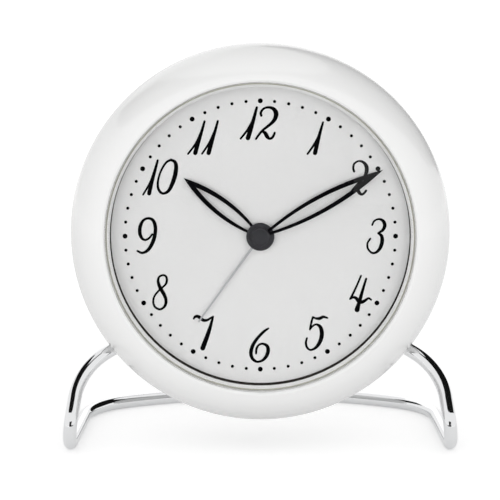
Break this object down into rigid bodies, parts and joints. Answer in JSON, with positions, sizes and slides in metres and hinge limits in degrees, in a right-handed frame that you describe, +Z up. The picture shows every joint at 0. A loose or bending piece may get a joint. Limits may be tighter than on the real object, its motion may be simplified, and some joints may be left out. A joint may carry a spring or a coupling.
{
  "type": "table clock",
  "caption": "Round analogue table alarm clock with a domed glass, open leaf hands and a bent steel rod stand; setting knobs, battery door, switch and button at the back.",
  "frame": {"origin": "on the surface the stand rests on, midway across the width and the depth of the whole clock", "axes": "+Z up, dial facing -Y and leaning back 3 degrees, +X to the right as the dial is read"},
  "size_m": [0.1166, 0.069, 0.1198],
  "materials": {
    "housing_white": "gloss",
    "clear_glass": "polished",
    "seal_olive": "satin",
    "dial_white": "satin",
    "carrier_grey": "matte",
    "hands_black": "semi-gloss",
    "alarm_hand_grey": "satin",
    "arbor_brass": "satin",
    "wheel_ivory": "satin",
    "arbor_steel": "satin",
    "knob_white": "satin",
    "movement_grey": "matte",
    "screw_steel": "satin",
    "board_green": "satin",
    "resin_black": "satin",
    "crystal_can": "satin",
    "coil_copper": "satin",
    "stator_iron": "satin",
    "cell_jacket": "satin",
    "contact_nickel": "satin",
    "switch_grey": "matte",
    "stand_chrome": "polished"
  },
  "bodies": {
    "case": {"front_case": "housing_white", "rear_case": "housing_white", "glass": "clear_glass", "glass_seal": "seal_olive", "dial": "dial_white", "dial_carrier": "carrier_grey", "carrier_screws": "screw_steel", "case_screws": "screw_steel", "movement_base": "movement_grey", "movement_cover": "movement_grey", "movement_screws": "screw_steel", "circuit_board": "board_green", "clock_chip": "resin_black", "quartz_crystal": "crystal_can", "motor_coil": "coil_copper", "motor_stator": "stator_iron", "battery": "cell_jacket", "contact_plate": "contact_nickel", "contact_spring": "contact_nickel", "control_board": "board_green", "snooze_contact": "contact_nickel", "buzzer": "resin_black", "stand": "stand_chrome", "stand_screws": "screw_steel"},
    "minute": {"minute_hand": "hands_black", "minute_pinion": "arbor_brass"},
    "hour": {"hour_hand": "hands_black", "hour_wheel": "wheel_ivory"},
    "motion": {"motion_wheel": "wheel_ivory"},
    "time_set": {"time_set_pinion": "arbor_steel", "time_set_knob": "knob_white"},
    "alarm": {"alarm_hand": "alarm_hand_grey", "alarm_wheel": "wheel_ivory"},
    "idler": {"alarm_idler": "wheel_ivory"},
    "alarm_set": {"alarm_set_pinion": "arbor_steel", "alarm_set_knob": "knob_white"},
    "alarm_switch": {"alarm_switch": "switch_grey"},
    "snooze_button": {"snooze_button": "knob_white"},
    "battery_door": {"battery_door": "housing_white"}
  },
  "joints": [
    {"name": "minute_turn", "type": "hinge", "parent": "case", "child": "minute", "pos_m": [0, -0.02636, 0.0645], "axis": [0, 0.9986, -0.0523], "continuous": true},
    {"name": "hour_turn", "type": "hinge", "parent": "case", "child": "hour", "pos_m": [0, -0.02636, 0.0645], "axis": [0, 0.9986, -0.0523], "continuous": true},
    {"name": "motion_turn", "type": "hinge", "parent": "case", "child": "motion", "pos_m": [0.0096, -0.02636, 0.0645], "axis": [0, 0.9986, -0.0523], "continuous": true},
    {"name": "time_set_turn", "type": "hinge", "parent": "case", "child": "time_set", "pos_m": [0.02, -0.02636, 0.0645], "axis": [0, 0.9986, -0.0523], "continuous": true},
    {"name": "alarm_set_turn", "type": "hinge", "parent": "case", "child": "alarm_set", "pos_m": [-0.02, -0.02636, 0.0645], "axis": [0, 0.9986, -0.0523], "continuous": true},
    {"name": "idler_turn", "type": "hinge", "parent": "case", "child": "idler", "pos_m": [-0.0128, -0.02636, 0.0645], "axis": [0, 0.9986, -0.0523], "continuous": true},
    {"name": "alarm_turn", "type": "hinge", "parent": "case", "child": "alarm", "pos_m": [0, -0.02636, 0.0645], "axis": [0, 0.9986, -0.0523], "continuous": true},
    {"name": "alarm_switch_slide", "type": "slide", "parent": "case", "child": "alarm_switch", "axis": [1, 0, 0], "range_m": [0, 0.003]},
    {"name": "snooze_press", "type": "slide", "parent": "case", "child": "snooze_button", "axis": [0, -0.9986, 0.0523], "range_m": [0, 0.0009], "stiffness_N_per_m": 400},
    {"name": "battery_door_hinge", "type": "hinge", "parent": "case", "child": "battery_door", "pos_m": [0, 0.00549, 0.03409], "axis": [-1, 0, 0], "range_deg": [0, 75]}
  ],
  "couplings": [
    {"joint": "hour_turn", "follows": "minute_turn", "ratio": 0.083333},
    {"joint": "motion_turn", "follows": "minute_turn", "ratio": -0.33333},
    {"joint": "time_set_turn", "follows": "minute_turn", "ratio": 0.75},
    {"joint": "idler_turn", "follows": "alarm_set_turn", "ratio": -0.5},
    {"joint": "alarm_turn", "follows": "alarm_set_turn", "ratio": 0.3}
  ]
}
